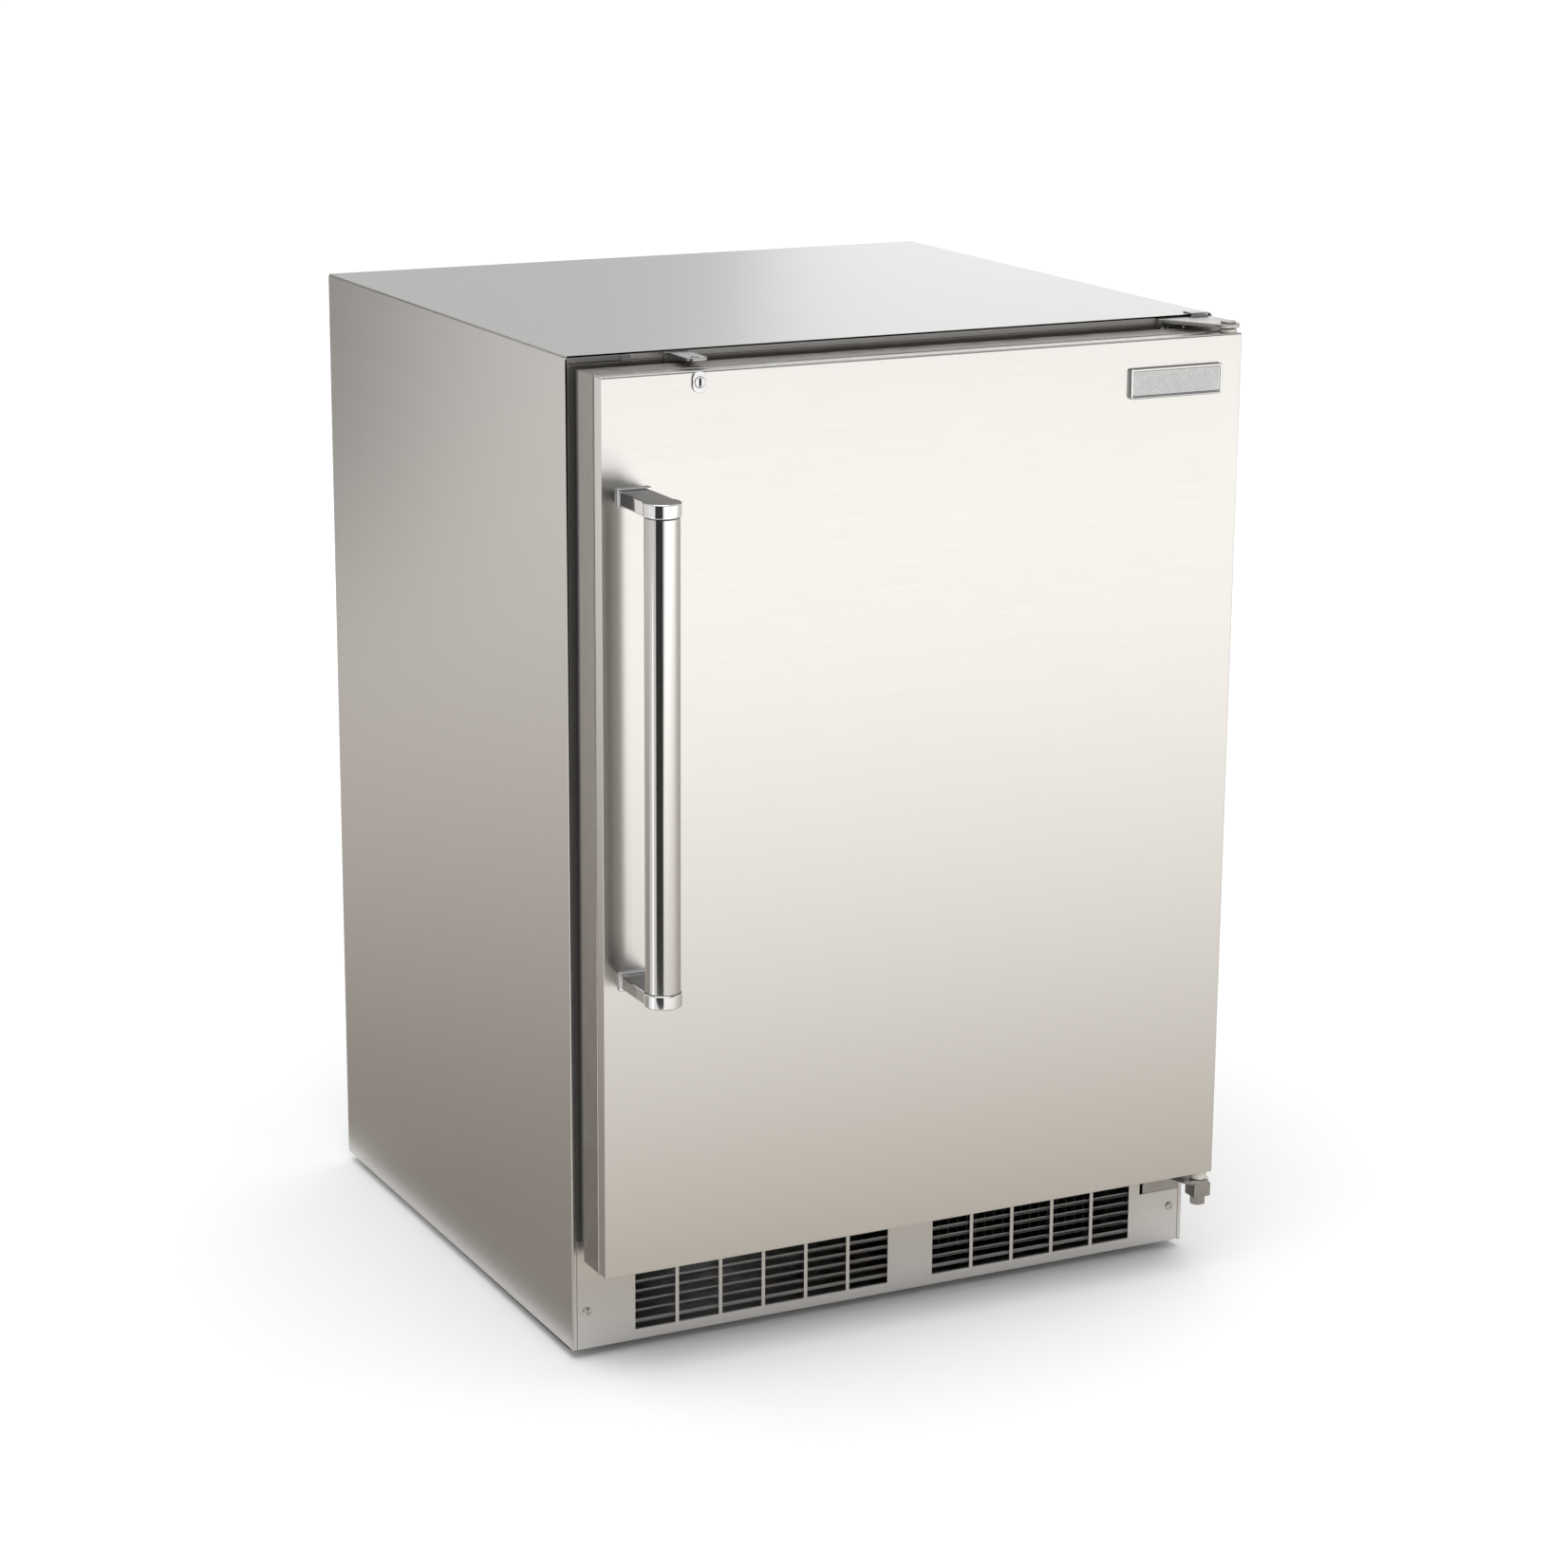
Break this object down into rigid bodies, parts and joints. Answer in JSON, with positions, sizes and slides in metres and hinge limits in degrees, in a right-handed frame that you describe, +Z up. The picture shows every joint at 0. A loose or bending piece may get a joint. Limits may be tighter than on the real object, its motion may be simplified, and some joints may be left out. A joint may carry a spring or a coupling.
{
  "type": "undercounter refrigerator",
  "caption": "Undercounter refrigerator with a solid stainless door, tubular handle, key lock, slotted kick plate, wire shelves and a front-breathing cooling unit.",
  "frame": {"origin": "on the floor, under the middle of the whole machine from the handle's front to the screw heads on the back", "axes": "+Z up, the door faces -Y, its hinge pins are at +X and its handle at -X"},
  "size_m": [0.606, 0.6747, 0.8605],
  "materials": {
    "stainless": "satin",
    "stainless_door": "satin",
    "door_edge": "satin",
    "galvanised": "matte",
    "dark_frame": "satin",
    "zinc": "satin",
    "chrome": "polished",
    "hinge_steel": "satin",
    "liner_white": "satin",
    "white_plastic": "satin",
    "black_plastic": "matte",
    "grey_plastic": "matte",
    "gasket_rubber": "matte",
    "mount_rubber": "matte",
    "foam": "matte",
    "compressor_paint": "gloss",
    "copper": "satin",
    "coil_fins": "satin",
    "shelf_coating": "gloss",
    "clear_plastic": "gloss",
    "lens": "gloss",
    "nylon": "satin"
  },
  "bodies": {
    "cabinet": {"side_panel_left": "stainless", "side_panel_right": "stainless", "top_panel": "stainless", "back_panel": "galvanised", "face_frame": "dark_frame", "foam_insulation": "foam", "inner_liner": "liner_white", "compartment_liner": "galvanised", "base_pan": "galvanised", "kick_plate": "stainless", "kick_plate_screws": "zinc", "hinge_hole_cover": "grey_plastic", "strike_bracket": "hinge_steel", "bracket_screws": "zinc", "top_hinge_plate": "hinge_steel", "bottom_hinge_bracket": "hinge_steel", "hinge_pins": "hinge_steel", "compressor": "compressor_paint", "compressor_mounts": "mount_rubber", "compressor_bolts": "zinc", "terminal_cover": "black_plastic", "condenser_coil": "copper", "condenser_fan_shroud": "black_plastic", "condenser_fan_motor": "zinc", "filter_drier": "copper", "refrigerant_tubes": "copper", "drain_pan": "black_plastic", "drain_tube": "white_plastic", "evaporator_coil": "coil_fins", "evaporator_cover": "white_plastic", "evaporator_fan_motor": "zinc", "control_housing": "white_plastic", "lamp_lens": "lens", "power_inlet": "black_plastic", "rear_access_panel": "galvanised", "rear_panel_screws": "zinc"},
    "door": {"door_skin": "stainless_door", "door_pan": "door_edge", "door_foam": "foam", "door_liner": "liner_white", "door_gasket": "gasket_rubber", "handle_bar": "stainless_door", "handle_arms": "chrome", "handle_screws": "zinc", "badge_plate": "chrome", "lock_housing": "chrome", "door_racks": "clear_plastic", "hinge_bushes": "nylon"},
    "foot_front_left": {"foot_front_left": "black_plastic"},
    "foot_front_right": {"foot_front_right": "black_plastic"},
    "foot_rear_left": {"foot_rear_left": "black_plastic"},
    "foot_rear_right": {"foot_rear_right": "black_plastic"},
    "condenser_fan": {"condenser_fan_blade": "grey_plastic"},
    "evaporator_fan": {"evaporator_fan_blade": "grey_plastic"},
    "thermostat": {"thermostat_knob": "white_plastic"},
    "upper_shelf": {"shelf_upper": "shelf_coating"},
    "middle_shelf": {"shelf_middle": "shelf_coating"},
    "lower_shelf": {"shelf_lower": "shelf_coating"},
    "plug": {"lock_plug": "chrome"},
    "bolt": {"lock_bolt": "hinge_steel"}
  },
  "joints": [
    {"name": "door_swing", "type": "hinge", "parent": "cabinet", "child": "door", "pos_m": [0.289, -0.25765, 0.468], "axis": [0, 0, 1], "range_deg": [0, 110]},
    {"name": "lock_turn", "type": "hinge", "parent": "door", "child": "plug", "pos_m": [-0.2123, -0.26685, 0.8412], "axis": [0, 1, 0], "range_deg": [0, 90]},
    {"name": "bolt_lift", "type": "slide", "parent": "door", "child": "bolt", "axis": [0, 0, 1], "range_m": [0, 0.008]},
    {"name": "thermostat_turn", "type": "hinge", "parent": "cabinet", "child": "thermostat", "pos_m": [0.05, -0.15465, 0.793], "axis": [0, 1, 0], "range_deg": [0, 270]},
    {"name": "condenser_fan_spin", "type": "hinge", "parent": "cabinet", "child": "condenser_fan", "pos_m": [0.128, -0.10265, 0.059], "axis": [0, 1, 0], "continuous": true},
    {"name": "evaporator_fan_spin", "type": "hinge", "parent": "cabinet", "child": "evaporator_fan", "pos_m": [0, 0.24285, 0.668], "axis": [0, 1, 0], "continuous": true},
    {"name": "upper_shelf_slide", "type": "slide", "parent": "cabinet", "child": "upper_shelf", "axis": [0, -1, 0], "range_m": [0, 0.025]},
    {"name": "middle_shelf_slide", "type": "slide", "parent": "cabinet", "child": "middle_shelf", "axis": [0, -1, 0], "range_m": [0, 0.025]},
    {"name": "lower_shelf_slide", "type": "slide", "parent": "cabinet", "child": "lower_shelf", "axis": [0, -1, 0], "range_m": [0, 0.025]},
    {"name": "front_left_foot_screw", "type": "slide", "parent": "cabinet", "child": "foot_front_left", "axis": [0, 0, -1], "range_m": [0, 0.02]},
    {"name": "front_right_foot_screw", "type": "slide", "parent": "cabinet", "child": "foot_front_right", "axis": [0, 0, -1], "range_m": [0, 0.02]},
    {"name": "rear_left_foot_screw", "type": "slide", "parent": "cabinet", "child": "foot_rear_left", "axis": [0, 0, -1], "range_m": [0, 0.02]},
    {"name": "rear_right_foot_screw", "type": "slide", "parent": "cabinet", "child": "foot_rear_right", "axis": [0, 0, -1], "range_m": [0, 0.02]}
  ]
}
